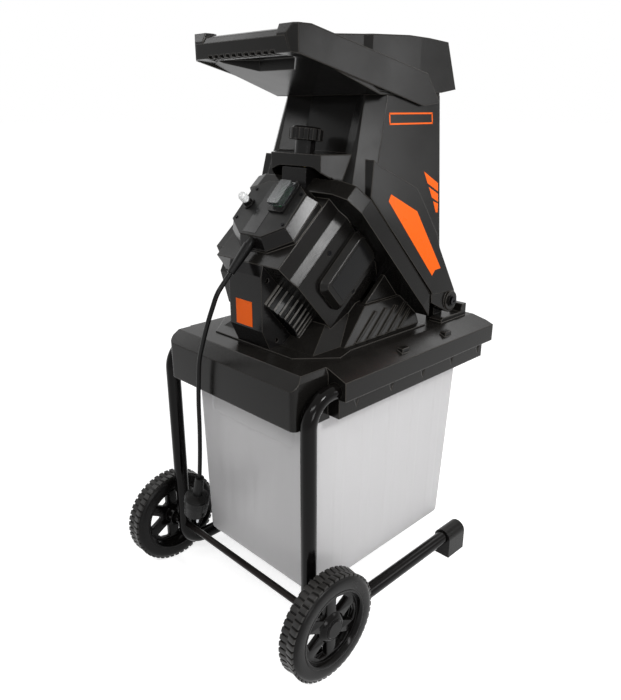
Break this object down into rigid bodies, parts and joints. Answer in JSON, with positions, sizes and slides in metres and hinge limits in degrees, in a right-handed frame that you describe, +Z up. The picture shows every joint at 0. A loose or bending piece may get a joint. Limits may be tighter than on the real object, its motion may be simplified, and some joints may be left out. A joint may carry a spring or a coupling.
{
  "type": "electric garden shredder",
  "caption": "Electric garden shredder with a tilting hopper on a slanted motor unit, wheeled tube frame and a box that draws out to the rear.",
  "frame": {"origin": "on the ground under the middle of the machine", "axes": "+Z up, +X to the right of someone facing the operator panel, -Y towards the operator, where wheels and carrying handle are"},
  "size_m": [0.4646, 0.547, 0.952],
  "materials": {
    "tube": "gloss black enamel on bent steel tube",
    "steel": "machined or pressed steel",
    "blade_steel": "ground tool steel",
    "dark_screw": "zinc plated, dark",
    "bolt_steel": "turned steel, bright plated",
    "brass": "turned brass insert",
    "black_plastic": "fine-grained charcoal black moulding",
    "trim_plastic": "smoother black moulding",
    "tyre": "matt black block tread",
    "box_plastic": "pale translucent polypropylene",
    "winding": "laminations with lacquered winding",
    "rocker_plastic": "gloss black rocker",
    "clear_plastic": "clear flexible plastic",
    "cord_rubber": "satin black cord sheath"
  },
  "bodies": {
    "chassis": {"frame_left": "tube", "frame_right": "tube", "axle": "steel", "axle_spacers": "trim_plastic", "foot_caps": "trim_plastic", "deck": "black_plastic", "box_rails": "trim_plastic", "motor_housing": "black_plastic", "nose_cover": "black_plastic", "vent_grille": "black_plastic", "side_cover": "black_plastic", "capacitor_cover": "black_plastic", "housing_screws": "dark_screw", "motor_can": "steel", "stator": "winding", "bearings": "steel", "motor_plate": "steel", "control_box": "black_plastic", "control_lid": "trim_plastic", "lid_screws": "dark_screw", "switch_body": "trim_plastic", "reset_base": "trim_plastic", "strain_relief": "cord_rubber", "cord": "cord_rubber", "plug": "cord_rubber", "plug_pins": "bolt_steel", "clamp_post": "trim_plastic", "post_insert": "brass", "hinge_screws": "dark_screw"},
    "left_wheel": {"wheel_left": "trim_plastic", "tyre_left": "tyre", "hub_cap_left": "trim_plastic"},
    "right_wheel": {"wheel_right": "trim_plastic", "tyre_right": "tyre", "hub_cap_right": "trim_plastic"},
    "collecting_box": {"box": "box_plastic"},
    "hopper_unit": {"hopper": "black_plastic", "wear_plate": "steel", "hood": "black_plastic", "guard": "black_plastic", "hinge_bushes": "trim_plastic"},
    "collar": {"clamp_collar": "trim_plastic"},
    "knob": {"clamp_knob": "trim_plastic", "clamp_bolt": "bolt_steel"},
    "cutter": {"rotor": "steel", "fan": "trim_plastic", "cutter_disc": "steel", "blades": "blade_steel", "blade_screws": "dark_screw"},
    "switch_rocker": {"rocker": "rocker_plastic"},
    "flap": {"switch_flap": "clear_plastic"},
    "reset": {"reset_button": "clear_plastic"}
  },
  "joints": [
    {"name": "wheel_left_spin", "type": "hinge", "parent": "chassis", "child": "left_wheel", "pos_m": [-0.2138, -0.1835, 0.09], "axis": [1, 0, 0], "continuous": true},
    {"name": "wheel_right_spin", "type": "hinge", "parent": "chassis", "child": "right_wheel", "pos_m": [0.2138, -0.1835, 0.09], "axis": [1, 0, 0], "continuous": true},
    {"name": "box_slide", "type": "slide", "parent": "chassis", "child": "collecting_box", "axis": [0, 1, 0], "range_m": [0, 0.36]},
    {"name": "hopper_tilt", "type": "hinge", "parent": "chassis", "child": "hopper_unit", "pos_m": [0, 0.1975, 0.526], "axis": [-1, 0, 0], "range_deg": [0, 70]},
    {"name": "clamp_lower", "type": "slide", "parent": "hopper_unit", "child": "collar", "axis": [0, -0.1392, -0.9903], "range_m": [0, 0.006]},
    {"name": "knob_turn", "type": "hinge", "parent": "collar", "child": "knob", "pos_m": [0, -0.022, 0.78275], "axis": [0, -0.1392, -0.9903], "range_deg": [0, 540]},
    {"name": "cutter_spin", "type": "hinge", "parent": "chassis", "child": "cutter", "pos_m": [0, 0.045, 0.662], "axis": [0, 0.7547, 0.6561], "continuous": true},
    {"name": "rocker_tip", "type": "hinge", "parent": "chassis", "child": "switch_rocker", "pos_m": [0.025, -0.08831, 0.71919], "axis": [-1, 0, 0], "range_deg": [0, 9]},
    {"name": "flap_open", "type": "hinge", "parent": "chassis", "child": "flap", "pos_m": [0.025, -0.07664, 0.74217], "axis": [-1, 0, 0], "range_deg": [0, 100]},
    {"name": "reset_press", "type": "slide", "parent": "chassis", "child": "reset", "axis": [0, 0.7071, -0.7071], "range_m": [0, 0.0025], "stiffness_N_per_m": 400}
  ],
  "couplings": [
    {"joint": "knob_turn", "follows": "clamp_lower", "rad_per_m": 1570.8}
  ]
}
